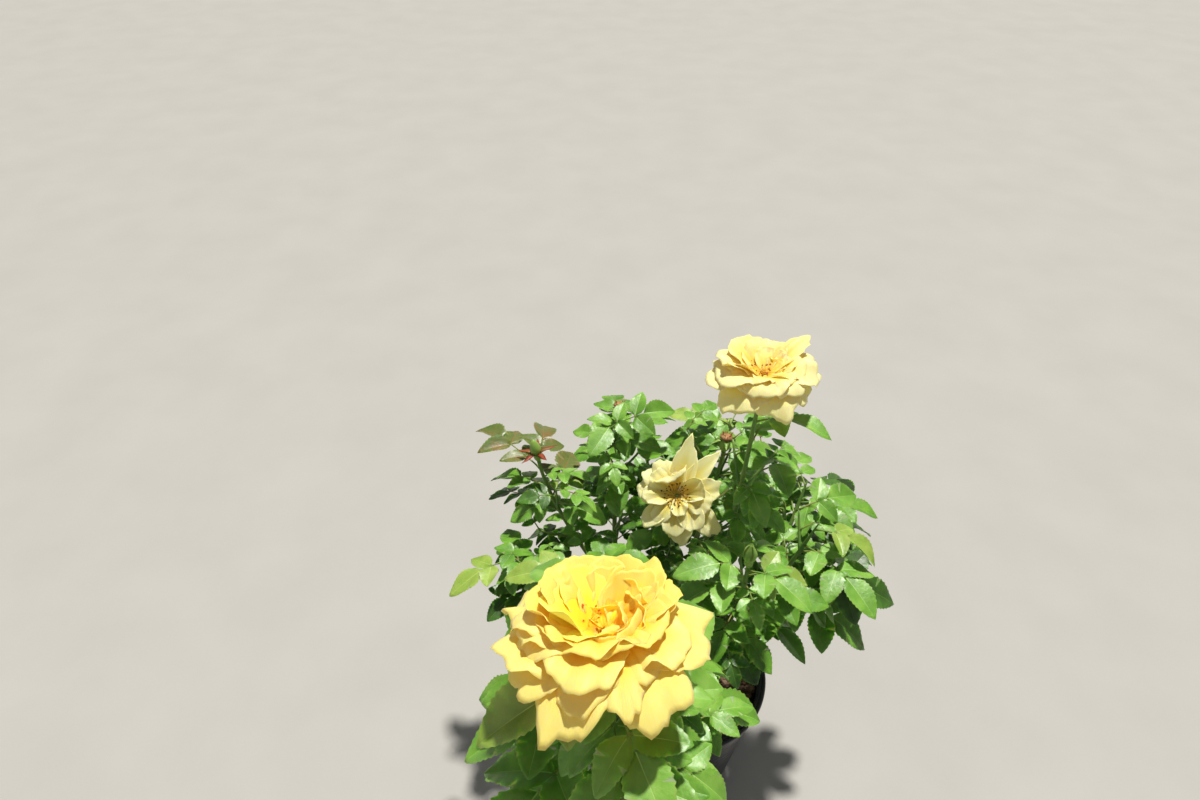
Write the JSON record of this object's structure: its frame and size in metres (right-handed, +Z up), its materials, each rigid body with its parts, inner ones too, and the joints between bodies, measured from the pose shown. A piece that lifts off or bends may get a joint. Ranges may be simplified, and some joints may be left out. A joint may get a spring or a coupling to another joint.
{
  "type": "potted rose bush",
  "caption": "Bush rose with upright thorny canes, divided leaves and large double yellow blooms, growing in a round tapered nursery pot.",
  "frame": {"origin": "centre of the pot's flat underside", "axes": "+Z up, the view of the picture is from -Y, +X to its right"},
  "size_m": [0.5101, 0.6864, 0.7528],
  "materials": {
    "pot": "satin black, lightly scuffed",
    "soil": "loose bark mix, matte",
    "wood": "green to brown bark",
    "leaf": "glossy green leaf",
    "young_leaf": "glossy young leaf with bronze edges",
    "petal": "soft warm yellow petal",
    "faded_petal": "soft pale buff petal"
  },
  "bodies": {
    "root": {"pot": "pot", "soil": "soil", "crown": "wood", "cane_front": "wood", "cane_top": "wood", "cane_faded": "wood", "cane_young": "wood", "cane_right": "wood", "cane_back": "wood", "bough_left": "wood", "bough_mid": "wood", "bough_heart": "wood", "bough_rear": "wood", "bough_wing": "wood", "bough_side": "wood", "bough_tail": "wood", "bloom_front": "petal", "bloom_top": "petal", "bloom_faded": "faded_petal", "leaves_front": "leaf", "leaves_top": "leaf", "leaves_faded": "leaf", "leaves_young": "young_leaf", "leaves_right": "leaf", "leaves_back": "leaf", "leaves_left": "leaf", "leaves_mid": "leaf", "leaves_heart": "leaf", "leaves_rear": "leaf", "leaves_wing": "leaf", "leaves_side": "leaf", "leaves_tail": "leaf"}
  },
  "joints": []
}
